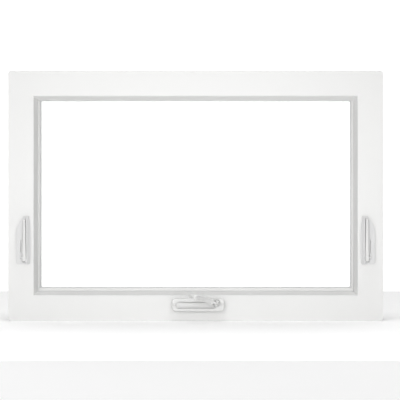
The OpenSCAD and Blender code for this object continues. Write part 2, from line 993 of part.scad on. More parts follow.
// Leaf-shaped plate with a slot for the lever and a sloping shoulder beside it
module lock_plate(side) {
    lever_slot = lever_w + 1.2;
    slot_low = lock_in - lever_slot / 2;
    slot_high = lock_in + lever_slot / 2;
    ear_w = 3;
    near = lock_in + plate_near;
    color(enamel)
        at_jamb(side)
            difference() {
                union() {
                    translate([0, room_y, 0]) rotate([90, 0, 0])
                        linear_extrude(plate_t) plate_outline();
                    intersection() {
                        translate([0, room_y, 0]) rotate([90, 0, 0])
                            linear_extrude(2 * plate_t + 4) plate_outline();
                        linear_extrude(far)
                            polygon([
                                [slot_high, room_y], [slot_high, room_y - shoulder_d],
                                [slot_high + 2, room_y - shoulder_d], [near, room_y - 1.5],
                                [near, room_y]
                            ]);
                    }
                    for (x = [slot_low - ear_w, slot_high])
                        translate([x, lever_y, lock_h]) rod_x(lock_pin_r + 2, ear_w);
                }
                translate([lock_in - 7, lever_y, lock_h]) rod_x(lock_pin_r, 14);
                translate([slot_low, room_y - shoulder_d - 5, lock_h - 12])
                    cube([lever_slot, shoulder_d + 6, 20]);
                translate([slot_low - 4, room_y - plate_t - 1, lock_h + 12])
                    cube([2, plate_t + 2, 29]);
                for (z = plate_screws)
                    translate([lock_in, room_y - plate_t, z]) rotate([90, 0, 0])
                        screw_hole(far / 10);
            }
}

module lock_housing(side) {
    color("silver")
        at_jamb(side)
            difference() {
                union() {
                    for (x = [pocket_in, lock_in + lever_w / 2 + 0.5, pocket_out - cheek_t])
                        translate([x, room_y, pocket_low])
                            cube([cheek_t, leg_t, pocket_high - pocket_low]);
                    translate([pocket_in, room_y, pocket_high - cheek_t])
                        cube([pocket_out - pocket_in, leg_t, cheek_t]);
                }
                translate([0, lever_y, lock_h]) rod_x(lock_pin_r, 100);
                translate([0, hook_y, hook_z]) rod_x(lock_pin_r, 100);
            }
}

module lock_pins() {
    color("silver")
        for (side = ["left", "right"])
            at_jamb(side) {
                translate([lock_in - 7, lever_y, lock_h]) rod_x(lock_pin_r, 14);
                translate([hook_in - 2, hook_y, hook_z]) rod_x(lock_pin_r, pocket_out - hook_in + 2);
            }
}

module lock_screws() {
    color("silver")
        for (side = ["left", "right"])
            at_jamb(side)
                for (z = plate_screws)
                    translate([lock_in, room_y - plate_t, z]) rotate([90, 0, 0]) screw(7);
}

module lock_lever(side) {
    hub = 5;
    color(enamel)
        at_jamb(side)
            translate([lock_in - lever_w / 2, lever_y, lock_h])
                difference() {
                    union() {
                        rod_x(hub, lever_w);
                        translate([slip, -4, -lever_tail])
                            cube([lever_w - 2 * slip, 3, lever_tail]);
                        translate([0, -6, 0]) cube([lever_w, 6.4, lever_l - lever_w / 2]);
                        translate([lever_w / 2, 0.4, lever_l - lever_w / 2])
                            rotate([90, 0, 0]) cylinder(r = lever_w / 2, h = 6.4);
                    }
                    translate([-1, 0, 0]) rod_x(lock_pin_r + run_gap, lever_w + 2);
                }
}

// Hook at rest: turned up, clear of the keeper
module lock_hook(side) {
    inner_r = norm([keep_reach, keep_h / 2]) + slip;
    outer_r = inner_r + hook_ring;
    color("silver")
        at_jamb(side)
            translate([hook_in, hook_y, hook_z])
                rotate([hook_turn, 0, 0])
                    rotate([90, 0, 90])
                        linear_extrude(hook_t)
                            difference() {
                                union() {
                                    circle(lock_pin_r + 3.5);
                                    intersection() {
                                        difference() {
                                            circle(outer_r);
                                            circle(inner_r);
                                        }
                                        polygon([[0, 0], [60, -14], [60, 34]]);
                                    }
                                    intersection() {
                                        circle(outer_r);
                                        polygon([[0, 0], [60, 20], [60, 34]]);
                                    }
                                }
                                circle(lock_pin_r + run_gap);
                            }
}

module lock_keepers() {
    color(steel)
        for (side = ["left", "right"])
            at_jamb(side)
                difference() {
                    union() {
                        translate([bar_in, keep_y, hook_z - 14]) cube([bar_t, 17, 28]);
                        translate([hook_in - 2, keep_y, hook_z - keep_h / 2])
                            cube([edge_side - hook_in + 2, keep_t, keep_h]);
                    }
                    for (z = [hook_z - 9, hook_z + 9])
                        translate([bar_in, hinge_y + 5, z]) rotate([0, -90, 0])
                            screw_hole(far / 10);
                }
}

// Screws of the sash: hinge bars, keepers and the operator's bracket
module sash_screws() {
    color("silver") {
        for (side = ["left", "right"])
            at_jamb(side) {
                for (z = bar_screws)
                    translate([bar_in, hinge_y, z]) rotate([0, -90, 0]) screw(5);
                for (z = [hook_z - 9, hook_z + 9])
                    translate([bar_in, hinge_y + 5, z]) rotate([0, -90, 0]) screw(5);
            }
        for (x = bracket_screws)
            translate([x, hinge_y + 6, edge_sill - bar_t]) rotate([180, 0, 0]) screw(5);
    }
}

// ---------- Nodes ----------

frame_sill();
frame_head();
frame_jamb("left");  // frame_jamb_left
frame_jamb("right");  // frame_jamb_right
weatherstrip();
hinge_tracks();
hinge_screws();
operator_base();
operator_cover();
cover_caps();
operator_screws();
gear_pivots();
worm_bushings();
lock_plate("left");  // lock_plate_left
lock_plate("right");  // lock_plate_right
lock_housing("left");  // lock_housing_left
lock_housing("right");  // lock_housing_right
lock_pins();
lock_screws();
lock_lever("left");  // lock_lever_left
lock_lever("right");  // lock_lever_right
lock_hook("left");  // lock_hook_left
lock_hook("right");  // lock_hook_right
worm_shaft();
crank_hub();
crank_pin();
crank_arm();
knob_rivet();
crank_knob();
drive_gear_left();
drive_gear_right();
drive_arm(-1);  // drive_arm_left
drive_arm(1);  // drive_arm_right
elbow_rivet(-1);  // elbow_rivet_left
elbow_rivet(1);  // elbow_rivet_right
link(-1);  // link_left
link(1);  // link_right
sash_top_rail();
sash_bottom_rail();
sash_stile("left");  // sash_stile_left
sash_stile("right");  // sash_stile_right
bead("head", 1);  // bead_top
bead("sill", 2);  // bead_bottom
bead("left", 0);  // bead_left
bead("right", 0);  // bead_right
glass_inner();
glass_outer();
glass_spacer();
glazing_seals();
setting_blocks();
sash_bracket();
ball_studs();
sash_screws();
lock_keepers();
hinge_sash_bars();
hinge_arm("left");  // hinge_arm_left
hinge_arm("right");  // hinge_arm_right
hinge_shoe("left");  // hinge_shoe_left
hinge_shoe("right");  // hinge_shoe_right
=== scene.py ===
# %% [markdown]
# # A white vinyl window with a folding crank
#
# This lesson dresses an engineered window for a studio picture. The design comes in as a
# fixed frame: every profile, gear and screw is already at its place, in metres, with the
# room side at -Y. We keep the hidden hardware as it is and give it real finishes. What the
# hand and the eye meet, which is the vinyl, the crank and the locks, we shape again here
# with soft edges, because light on a window is mostly light on its edges.

# %% Load the frame
import json
import math

import bmesh
import bpy
from mathutils import Matrix, Vector


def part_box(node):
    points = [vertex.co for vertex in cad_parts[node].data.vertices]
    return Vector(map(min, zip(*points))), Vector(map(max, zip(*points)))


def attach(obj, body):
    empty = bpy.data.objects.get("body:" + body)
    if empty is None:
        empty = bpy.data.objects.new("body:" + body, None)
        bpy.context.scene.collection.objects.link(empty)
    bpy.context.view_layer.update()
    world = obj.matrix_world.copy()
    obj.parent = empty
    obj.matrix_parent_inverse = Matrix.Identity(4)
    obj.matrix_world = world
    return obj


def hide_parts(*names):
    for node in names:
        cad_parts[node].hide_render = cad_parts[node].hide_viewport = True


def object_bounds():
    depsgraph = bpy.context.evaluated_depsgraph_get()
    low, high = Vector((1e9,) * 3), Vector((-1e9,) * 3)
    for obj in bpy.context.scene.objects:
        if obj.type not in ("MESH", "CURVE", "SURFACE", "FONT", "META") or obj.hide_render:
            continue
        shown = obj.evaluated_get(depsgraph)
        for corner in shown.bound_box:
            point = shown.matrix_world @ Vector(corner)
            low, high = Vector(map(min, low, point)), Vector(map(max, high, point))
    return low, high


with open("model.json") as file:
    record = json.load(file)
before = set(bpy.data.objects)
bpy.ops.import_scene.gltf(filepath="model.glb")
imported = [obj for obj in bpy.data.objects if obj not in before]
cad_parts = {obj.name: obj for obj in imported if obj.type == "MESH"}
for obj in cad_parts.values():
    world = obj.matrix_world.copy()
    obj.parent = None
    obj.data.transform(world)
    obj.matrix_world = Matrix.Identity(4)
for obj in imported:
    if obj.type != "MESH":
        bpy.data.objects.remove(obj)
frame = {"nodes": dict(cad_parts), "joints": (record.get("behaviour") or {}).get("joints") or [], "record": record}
cad_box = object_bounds()
MM = 0.001
low, high = cad_box
print("window, mm:", [round((b - a) / MM, 1) for a, b in zip(low, high)])

# %% [markdown]
# ## Selecting by place
#
# With no mouse, faces and edges are selected by a question about them, such as "do you
# look at the room?". Three helpers are enough: one makes a single piece active, one puts
# the question to every face, and one to every edge together with its two faces.

# %% Helpers for selecting
FACING = 0.9


def only(piece):
    bpy.ops.object.select_all(action="DESELECT")
    piece.select_set(True)
    bpy.context.view_layer.objects.active = piece


def edit(piece, on=True):
    if on:
        only(piece)
    bpy.ops.object.mode_set(mode="EDIT" if on else "OBJECT")


def pick_faces(piece, test):
    mesh = bmesh.from_edit_mesh(piece.data)
    bpy.ops.mesh.select_all(action="DESELECT")
    bpy.context.tool_settings.mesh_select_mode = (False, False, True)
    for face in mesh.faces:
        face.select_set(bool(test(face)))
    bmesh.update_edit_mesh(piece.data)


def pick_edges(piece, test):
    mesh = bmesh.from_edit_mesh(piece.data)
    bpy.ops.mesh.select_all(action="DESELECT")
    bpy.context.tool_settings.mesh_select_mode = (False, True, False)
    for line in mesh.edges:
        if len(line.link_faces) == 2 and test(line):
            line.select_set(True)
    bmesh.update_edit_mesh(piece.data)
    return sum(line.select for line in mesh.edges)


# %% [markdown]
# ## Finishing a piece
#
# A finished piece has smooth shading that stops at real corners, a finish and a body to
# ride on, and the engineered node that it stands for is hidden. The weighted normals keep
# large flats flat where they run into a rounded edge.

# %% Helpers for finishing
SMOOTH_TO = math.radians(38)
finishes = {}


def apply_modifier(piece, kind, **settings):
    only(piece)
    modifier = piece.modifiers.new(kind.lower(), kind)
    for name, value in settings.items():
        setattr(modifier, name, value)
    bpy.ops.object.modifier_apply(modifier=modifier.name)


def soften(piece, width, segments=3, angle=38):
    apply_modifier(
        piece, "BEVEL", width=width, segments=segments, limit_method="ANGLE",
        angle_limit=math.radians(angle), use_clamp_overlap=True,
    )


def combine(piece, tool, operation):
    apply_modifier(piece, "BOOLEAN", object=tool, operation=operation, solver="EXACT")
    bpy.data.objects.remove(tool)


def hand_over(piece, body, slot, *nodes, finish=None):
    only(piece)
    bpy.ops.object.transform_apply(location=True, rotation=True, scale=True)
    bpy.ops.object.shade_smooth_by_angle(angle=SMOOTH_TO)
    apply_modifier(piece, "WEIGHTED_NORMAL", keep_sharp=True, weight=50)
    piece.data.materials.clear()
    piece.data.materials.append(finishes[finish or slot])
    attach(piece, body)
    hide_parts(*nodes)
    piece.data.calc_loop_triangles()
    print(piece.name, "triangles:", len(piece.data.loop_triangles))


# %% [markdown]
# ## Building a finish
#
# Colours are picked as on a paint chip, in sRGB hex, and one function turns them into the
# linear light that the renderer adds up. One more function adds a shader node with its
# settings and links. Patterns read Object coordinates, so their scale is a real size.

# %% Helpers for finishes
def colour(hex_value):
    channels = [int(hex_value[i:i + 2], 16) / 255 for i in (1, 3, 5)]
    linear = [c / 12.92 if c <= 0.04045 else ((c + 0.055) / 1.055) ** 2.4 for c in channels]
    return (*linear, 1.0)


def add_node(tree, kind, inputs, **settings):
    made = tree.nodes.new("ShaderNode" + kind)
    for name, value in settings.items():
        setattr(made, name, value)
    for name, value in inputs.items():
        if isinstance(value, bpy.types.NodeSocket):
            tree.links.new(value, made.inputs[name])
        else:
            made.inputs[name].default_value = value
    return made


def new_finish(slot, name):
    material = bpy.data.materials.new(name)
    material.use_nodes = True
    material.node_tree.nodes.clear()
    finishes[slot] = material
    return material.node_tree


def close_finish(tree, shader):
    add_node(tree, "OutputMaterial", {"Surface": shader.outputs["BSDF"]})
    print("finish:", len(tree.nodes), "nodes")


# %% [markdown]
# ## Surfaces that came out of a die, a mould or an oven
#
# Plastics, powder coat and rubber differ in three things: how fine their skin is, how deep
# it is and how much their shade drifts over a hand's width. So one recipe holds a fine
# grain for the bump, a slow cloud for the shade, and a roughness that follows the cloud.

# %% A skin with a grain and a slow drift of shade
MIX_FIRST, MIX_SECOND, MIX_RESULT = 6, 7, 2
GLOSS_DRIFT = 0.05


def skin(slot, name, shades, grain_mm, depth_mm, rough, drift_mm=90, stretch=(1, 1, 1), **shader):
    tree = new_finish(slot, name)
    place = add_node(tree, "TexCoord", {}).outputs["Object"]
    along = add_node(tree, "Mapping", {"Vector": place, "Scale": stretch}).outputs["Vector"]
    grain = add_node(tree, "TexNoise", {"Vector": along, "Scale": 1 / (grain_mm * MM), "Detail": 3})
    cloud = add_node(tree, "TexNoise", {"Vector": along, "Scale": 1 / (drift_mm * MM), "Detail": 2})
    shade = add_node(tree, "Mix", {"Factor": cloud.outputs["Fac"]}, data_type="RGBA")
    shade.inputs[MIX_FIRST].default_value = colour(shades[0])
    shade.inputs[MIX_SECOND].default_value = colour(shades[1])
    gloss = add_node(tree, "MapRange", {
        "Value": cloud.outputs["Fac"], "To Min": rough - GLOSS_DRIFT,
        "To Max": rough + GLOSS_DRIFT,
    })
    bump = add_node(tree, "Bump", {
        "Height": grain.outputs["Fac"], "Strength": 1.0, "Distance": depth_mm * MM,
    })
    close_finish(tree, add_node(tree, "BsdfPrincipled", {
        "Base Color": shade.outputs[MIX_RESULT], "Roughness": gloss.outputs["Result"],
        "Normal": bump.outputs["Normal"], **shader,
    }))


# %% [markdown]
# ## The white finishes
#
# The window is white on white, and what separates its pieces is gloss and grain. Extruded
# PVC leaves the die satin, with faint draw lines. Moulded ABS has a fine spark-eroded
# grain. Powder coat on the levers and the crank has the low waves called orange peel.

# %% Extruded PVC, moulded ABS and powder coat
# Extruded PVC: satin, almost even in shade. Its draw lines are too fine to see from here,
# so the grain is drawn at 1.5 mm.
skin("vinyl", "extruded_white_pvc", ("#D8D8D7", "#DADAD9"), 1.5, 0.004, 0.42, IOR=1.53)
# Moulded ABS: a shade greyer than the profiles, with a grain like fine sandpaper.
skin("cover_plastic", "moulded_white_abs", ("#D4D4D3", "#D7D7D6"), 0.6, 0.008, 0.40, IOR=1.53)
# Powder coat on zinc: smooth and a little glossy, with waves about 2 mm apart.
skin("enamel", "white_powder_coat", ("#CECECD", "#D1D1D0"), 2.0, 0.012, 0.30, IOR=1.5)
# The lock plates are zinc castings in the same coat, drawn a shade greyer than the levers.
skin("plate_enamel", "white_powder_coat_greyer", ("#C8C8C8", "#CCCCCC"), 2.0, 0.014, 0.34, IOR=1.5)

# %% [markdown]
# ## Rubber, nylon and what they seal
#
# The glazing seal is a soft grey PVC line round the glass, and it is the darkest line of
# the closed window. The weatherstrip is dark foamed EPDM, and the hinge shoes are black
# moulded nylon, which wears shiny where it slides.

# %% Glazing seal, weatherstrip and shoes
# Soft PVC: matt and pale grey.
skin("seal", "soft_grey_pvc_seal", ("#CFCFD0", "#D3D3D4"), 0.8, 0.01, 0.6, IOR=1.5)
# Foamed EPDM: dark, with open pores about a millimetre wide.
skin("weatherstrip", "foamed_epdm", ("#3C3D3F", "#46474A"), 0.9, 0.06, 0.85, drift_mm=30)
# Moulded nylon: black and half glossy.
skin("shoe", "black_moulded_nylon", ("#2B2C2E", "#333437"), 0.7, 0.01, 0.38, drift_mm=12)

# %% [markdown]
# ## The metals
#
# A metal has no base shade of its own, only tinted reflections, so each gets two tints
# that mix in patches. Zinc plating has a bluish cast and rolling lines, zinc castings are
# duller and mottled, sintered bronze is speckled by its pores, and the spacer between the
# panes is mill-finish aluminium.

# %% Plated steel, castings, bronze and aluminium
# Zinc-plated steel: patches of blue and straw, with rolling lines drawn 3 mm apart.
skin(
    "steel", "zinc_plated_steel", ("#B4B8BC", "#C3C4C2"), 3.0, 0.006, 0.30,
    drift_mm=14, stretch=(1, 6, 6), Metallic=1.0,
)
# Zinc casting: dull, with the mottling of a cooled skin.
skin("die_cast", "tumbled_zinc_casting", ("#97999C", "#A9ABAD"), 1.4, 0.03, 0.48,
     drift_mm=8, Metallic=1.0)
# Sintered bronze: oil-filled pores, drawn at 0.6 mm so that they show.
skin("bronze", "sintered_bronze", ("#8A6A42", "#B18A58"), 0.6, 0.03, 0.45,
     drift_mm=2, Metallic=1.0)
# Mill-finish aluminium: long drawing lines along the spacer.
skin("spacer", "mill_finish_aluminium", ("#B9BBBD", "#C9CACB"), 2.0, 0.006, 0.34,
     drift_mm=40, stretch=(1, 8, 1), Metallic=1.0)

# %% [markdown]
# ## The glass
#
# Float glass is clear to the eye and faintly green along its edge. It is modelled as two
# real panes, so the shader only has to bend and reflect. A roller leaves waves of a
# fraction of a hair over a hand's width, which is why a reflection in a window swims.

# %% Float glass
# Float glass: clear, smooth, with roller waves about 120 mm long.
ROLLER_WAVE, WAVE_DEEP = 120 * MM, 0.02 * MM


def float_glass():
    tree = new_finish("glass", "clear_float_glass")
    place = add_node(tree, "TexCoord", {}).outputs["Object"]
    wave = add_node(tree, "TexNoise", {"Vector": place, "Scale": 1 / ROLLER_WAVE, "Detail": 0})
    bump = add_node(tree, "Bump", {
        "Height": wave.outputs["Fac"], "Strength": 0.2, "Distance": WAVE_DEEP,
    })
    close_finish(tree, add_node(tree, "BsdfPrincipled", {
        "Base Color": colour("#FEFFFE"), "Roughness": 0.0, "IOR": 1.52,
        "Transmission Weight": 1.0, "Normal": bump.outputs["Normal"],
    }))


float_glass()

# %% [markdown]
# ## The hidden hardware keeps its engineered shape
#
# Gears, arms, hinges, tracks, screws and castings are right as they were designed, so each
# node only takes the finish that its record names.

# %% Dress every node
slot_of = {row["node"]: row["material_slot"] for row in frame["record"]["subparts"]}
for node, piece in frame["nodes"].items():
    piece.data.materials.clear()
    piece.data.materials.append(finishes[slot_of[node]])
print("nodes dressed:", len(slot_of))

# %% [markdown]
# ## Mitred vinyl with soft edges
#
# Each side of the frame, the sash and the bead is an extrusion cut at 45 degrees and
# welded. The die leaves a radius of about a millimetre on every long edge, and the weld
# leaves none across the corner. So a copy of each side is merged, its flats are cleaned,
# and only the edges that don't belong to a mitre are bevelled. The copy keeps the hollow
# chambers and the screw holes.

# %% Twelve vinyl sides
DIE_RADIUS = 1.2 * MM
BEAD_RADIUS = 0.8 * MM
LEVEL, SLANT = 0.01, 0.05
MERGE = 0.002 * MM
middle = (low + high) / 2


def is_mitre(face):
    away = face.calc_center_median() - middle
    outward_x = face.normal.x * math.copysign(1, away.x)
    outward_z = face.normal.z * math.copysign(1, away.z)
    return abs(face.normal.y) < LEVEL and outward_x * outward_z < -SLANT


def is_long_edge(line):
    sharp = line.calc_face_angle(0) > math.radians(30)
    return sharp and not any(is_mitre(face) for face in line.link_faces)


def clean_copy(node, name):
    piece = bpy.data.objects.new(name, frame["nodes"][node].data.copy())
    bpy.context.scene.collection.objects.link(piece)
    edit(piece)
    bpy.ops.mesh.select_all(action="SELECT")
    bpy.ops.mesh.remove_doubles(threshold=MERGE)
    bpy.ops.mesh.dissolve_limited(angle_limit=math.radians(0.5))
    return piece


def vinyl_side(node, body, radius):
    piece = clean_copy(node, "soft_" + node)
    count = pick_edges(piece, is_long_edge)
    bpy.ops.mesh.bevel(offset=radius, segments=3, affect="EDGES", clamp_overlap=True)
    edit(piece, False)
    print(node, "edges softened:", count)
    hand_over(piece, body, "vinyl", node)


for node in ("frame_sill", "frame_head", "frame_jamb_left", "frame_jamb_right"):
    vinyl_side(node, "frame", DIE_RADIUS)
for node in ("sash_top_rail", "sash_bottom_rail", "sash_stile_left", "sash_stile_right"):
    vinyl_side(node, "sash", DIE_RADIUS)
for node in ("bead_top", "bead_bottom", "bead_left", "bead_right"):
    vinyl_side(node, "sash", BEAD_RADIUS)

# %% [markdown]
# ## A slab with round corners
#
# The operator cover and the tools that cut it have the same form. A plane gets rounded
# corners from a vertex bevel and is extruded to a slab.

# %% A slab with round corners
def slab(name, size, centre, near_y, far_y, corner):
    bpy.ops.object.select_all(action="DESELECT")
    bpy.ops.mesh.primitive_plane_add(
        size=1, location=(centre[0], far_y, centre[1]), rotation=(math.radians(90), 0, 0),
    )
    piece = bpy.context.object
    piece.name = name
    piece.scale = (size[0], size[1], 1)
    bpy.ops.object.transform_apply(location=True, rotation=True, scale=True)
    edit(piece)
    bpy.ops.mesh.select_all(action="SELECT")
    bpy.ops.mesh.bevel(offset=corner, segments=10, affect="VERTICES")
    bpy.ops.mesh.select_all(action="SELECT")
    bpy.ops.mesh.extrude_region_move(TRANSFORM_OT_translate={"value": (0, near_y - far_y, 0)})
    bpy.ops.mesh.select_all(action="SELECT")
    bpy.ops.mesh.normals_make_consistent(inside=False)
    edit(piece, False)
    return piece


# %% [markdown]
# ## Plain blocks
#
# Arms, webs and tongues start as blocks of a given size round a given centre. One more
# question serves them all: does an edge run through the depth of the block?

# %% A plain block
def block(name, size, centre=(0, 0, 0)):
    bpy.ops.object.select_all(action="DESELECT")
    bpy.ops.mesh.primitive_cube_add(size=1, location=centre)
    piece = bpy.context.object
    piece.name = name
    piece.scale = size
    bpy.ops.object.transform_apply(location=True, rotation=True, scale=True)
    return piece


def runs_deep(line, least):
    return abs(line.verts[0].co.y - line.verts[1].co.y) > least


# %% [markdown]
# ## Turned pieces
#
# A knob, a hub, a screw head and a pin are all rings of different radius along one line.
# A filled circle is extruded ring by ring, and each new ring is scaled to its radius. A
# ring is written as its radius and its height, both in millimetres.

# %% A turned piece, along +Z from its first ring
TO_ROOM = Vector((0, -1, 0))


def turned(name, rings, place=Matrix.Identity(4), steps=40):
    bpy.ops.object.select_all(action="DESELECT")
    radius, height = rings[0]
    bpy.ops.mesh.primitive_circle_add(vertices=steps, radius=radius * MM, fill_type="NGON")
    piece = bpy.context.object
    piece.name = name
    piece.location.z = height * MM
    bpy.ops.object.transform_apply(location=True)
    edit(piece)
    bpy.ops.mesh.select_all(action="SELECT")
    for ring, last in zip(rings[1:], rings):
        rise = (ring[1] - last[1]) * MM
        grow = ring[0] / last[0]
        bpy.ops.mesh.extrude_region_move(TRANSFORM_OT_translate={"value": (0, 0, rise)})
        bpy.ops.transform.resize(value=(grow, grow, 1), center_override=(0, 0, ring[1] * MM))
    bpy.ops.mesh.select_all(action="SELECT")
    bpy.ops.mesh.normals_make_consistent(inside=False)
    edit(piece, False)
    piece.matrix_world = place
    only(piece)
    bpy.ops.object.transform_apply(location=True, rotation=True, scale=True)
    return piece


def pointing(origin, axis):
    turn = Vector(axis).normalized().to_track_quat("Z", "Y").to_matrix().to_4x4()
    return Matrix.Translation(origin) @ turn


# %% [markdown]
# ## The operator cover
#
# The cover is a moulded shell with a soft shoulder all round. Its size is read from the
# design, and its hollow leaves an even skin behind the deepest groove.

# %% The shell and its hollow
GROOVE_H, GROOVE_DEEP = 2.8 * MM, 9 * MM
SHOULDER = 3.5 * MM
SKIN = 2.5 * MM
COVER_CORNER = 10 * MM
joint = {row["name"]: row for row in frame["joints"]}
shaft = Vector(joint["crank_turn"]["pos_m"])
cover_low, cover_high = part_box("operator_cover")
cover_size = (cover_high.x - cover_low.x, cover_high.z - cover_low.z)
cover_at = ((cover_low.x + cover_high.x) / 2, (cover_low.z + cover_high.z) / 2)
front, back = cover_low.y, cover_high.y
cover = slab("cover_shell", cover_size, cover_at, front, back, COVER_CORNER)
edit(cover)
pick_faces(cover, lambda face: face.normal.y < -FACING)
bpy.ops.mesh.bevel(offset=SHOULDER, segments=6, affect="EDGES")
edit(cover, False)
inner_size = [length - 2 * SKIN - SHOULDER for length in cover_size]
inner_front = front + GROOVE_DEEP + SKIN
hollow = slab("hollow", inner_size, cover_at, inner_front, back + SKIN, COVER_CORNER - SKIN)
combine(cover, hollow, "DIFFERENCE")
print("cover, mm:", [round(side / MM, 1) for side in cover_size])

# %% [markdown]
# ## The nest
#
# A nest is a shallow tray in the cover, in the outline of a folded handle, with a groove
# at the top and the bottom. In this design the handle's fold stops before the handle
# reaches its nest, so the nest stays empty at every pose.

# %% The nest and its grooves
NEST_W, NEST_H, NEST_DEEP, NEST_CORNER = 98 * MM, 17 * MM, 5 * MM, 6 * MM
NEST_SHIFT = 1 * MM
GROOVE_CORNER = 1 * MM
nest_at = (shaft.x - NEST_W / 2 - NEST_SHIFT, cover_at[1] - NEST_SHIFT)
nest = slab("nest", (NEST_W, NEST_H), nest_at, front - SKIN, front + NEST_DEEP, NEST_CORNER)
combine(cover, nest, "DIFFERENCE")
groove_size = (NEST_W - 2 * NEST_CORNER, GROOVE_H)
for side in (-1, 1):
    groove_at = (nest_at[0], nest_at[1] + side * (NEST_H - GROOVE_H) / 2)
    groove = slab("groove", groove_size, groove_at, front, front + GROOVE_DEEP, GROOVE_CORNER)
    combine(cover, groove, "DIFFERENCE")
print("nest, mm:", round(NEST_W / MM), "by", round(NEST_H / MM))

# %% [markdown]
# ## Holes in the cover
#
# A low boss rises round the shaft, with a bore through it, and a well takes each of the
# two screws. The last bevel breaks every edge that the cutting left sharp.

# %% Boss, bore and wells
BOSS_RINGS = [(11, -18), (11, -3), (10.7, -1.2), (9.9, 0)]
BORE_R, BORE_REACH = 8.5, 30
WELL_RINGS = [(3.6, -14), (3.6, 5)]
SCREW_INSET = 6 * MM
COVER_EDGE = 0.5 * MM
at_shaft = pointing((shaft.x, front, shaft.z), TO_ROOM)
combine(cover, turned("boss", BOSS_RINGS, at_shaft, 64), "UNION")
bore = turned("bore", [(BORE_R, -BORE_REACH), (BORE_R, BORE_REACH)], at_shaft)
combine(cover, bore, "DIFFERENCE")
screw_xs = (cover_low.x + SCREW_INSET, cover_high.x - SCREW_INSET)
for x in screw_xs:
    well = turned("well", WELL_RINGS, pointing((x, front, cover_at[1]), TO_ROOM), 24)
    combine(cover, well, "DIFFERENCE")
soften(cover, COVER_EDGE, 2)
hand_over(cover, "frame", "cover_plastic", "operator_cover")

# %% [markdown]
# ## Screw caps
#
# A push-in cap closes each well. It sits a little below the front of the cover and is
# dished in the middle. Both caps are one node, so they are joined into one piece.

# %% Caps over the screws
CAP_RINGS = [(3.5, 0), (3.5, 1.4), (3.1, 1.9), (1.6, 2.0), (1.4, 1.7), (0.2, 1.7)]
CAP_SINK = 3 * MM
caps = None
for x in screw_xs:
    cap_place = pointing((x, front + CAP_SINK, cover_at[1]), TO_ROOM)
    cap = turned("screw_caps", CAP_RINGS, cap_place, 32)
    if caps:
        combine(caps, cap, "UNION")
    else:
        caps = cap
hand_over(caps, "frame", "cover_plastic", "cover_caps")

# %% [markdown]
# ## The crank
#
# The hub sits on the worm's splined shaft and ends in a fork of two cheeks. Each cheek is
# a turned ear on a web, and one eye runs through both for the pin.

# %% Hub and fork
HUB_RINGS = [(8.0, 0), (8.0, 3.2), (7.5, 4.0), (7.5, 9.6), (7.0, 10.6), (6.0, 11.0)]
EAR_RINGS = [(4.6, 0), (5, 0.4), (5, 3.1), (4.6, 3.5)]
HUB_RISE = 15 * MM
FORK_GAP, CHEEK = 6 * MM, 3.5 * MM
WEB_W, WEB_H = 10 * MM, 5.2 * MM
HUB_EDGE = 0.4 * MM
fold_at = Vector(joint["handle_fold"]["pos_m"])
fold_axis = Vector(joint["handle_fold"]["axis"]).normalized()
hub_place = pointing((shaft.x, fold_at.y + HUB_RISE, shaft.z), TO_ROOM)
hub = turned("crank_hub_cast", HUB_RINGS, hub_place)
combine(hub, turned("seat", [(4, -1), (4, 5)], hub_place), "DIFFERENCE")
lean = math.atan2(fold_axis.x, fold_axis.z)
roll = Matrix.Translation(fold_at) @ Matrix.Rotation(lean, 4, "Y")
for side in (-1, 1):
    start = side * (FORK_GAP + CHEEK) / 2 - CHEEK / 2
    ear = turned("ear", EAR_RINGS, roll @ Matrix.Translation((0, 0, start)))
    combine(hub, ear, "UNION")
    web = block("web", (1, 1, 1))
    web_at = Matrix.Translation((0, WEB_H / 2, start + CHEEK / 2))
    web.matrix_world = roll @ web_at @ Matrix.Diagonal((WEB_W, WEB_H, CHEEK, 1))
    bpy.ops.object.transform_apply(location=True, rotation=True, scale=True)
    combine(hub, web, "UNION")
combine(hub, turned("eye", [(2, -12), (2, 12)], roll, 24), "DIFFERENCE")
soften(hub, HUB_EDGE, 2)
hand_over(hub, "crank", "enamel", "crank_hub")

# %% [markdown]
# ## The handle's arm
#
# The arm is modelled straight along X, where its face can be picked by its normal, and is
# laid over the joint at the end. It is widest at the fork, tapers to the grip and is
# dished along its face by two insets.

# %% A tapered and dished arm
ARM_DEEP, ARM_TIP, ARM_ROOT, ARM_START = 5 * MM, 9 * MM, 15 * MM, 12 * MM
ARM_CORNER = 4 * MM
DISH_RIM, DISH_WALL, DISH_DEEP = 2.2 * MM, 0.8 * MM, 0.9 * MM
grip_at = Vector(joint["knob_spin"]["pos_m"])
grip_axis = Vector(joint["knob_spin"]["axis"]).normalized()
along = grip_axis.cross(fold_axis).normalized()
handle = Matrix((along, grip_axis, fold_axis)).transposed().to_4x4()
handle.translation = fold_at
reach = (fold_at - grip_at).dot(along)
arm_size = (reach - ARM_START, ARM_DEEP, ARM_ROOT)
arm = block("folding_handle", arm_size, (-(reach + ARM_START) / 2, 0, 0))
edit(arm)
pick_faces(arm, lambda face: face.normal.x < -FACING)
bpy.ops.transform.resize(value=(1, 1, ARM_TIP / ARM_ROOT), center_override=(-reach, 0, 0))
pick_edges(arm, lambda line: (
    all(v.co.x > -reach / 2 for v in line.verts) and runs_deep(line, ARM_DEEP / 2)
))
bpy.ops.mesh.bevel(offset=ARM_CORNER, segments=6, affect="EDGES")
pick_faces(arm, lambda face: face.normal.y < -FACING)
bpy.ops.mesh.inset(thickness=DISH_RIM, depth=0)
bpy.ops.mesh.inset(thickness=DISH_WALL, depth=-DISH_DEEP)
edit(arm, False)
print("handle, mm from pin to grip:", round(reach / MM, 2))

# %% [markdown]
# ## Both ends of the arm
#
# A boss carries the grip's rivet, and a tongue with a round knuckle goes into the fork.
# The holes are cut last, so that they run through everything that was joined.

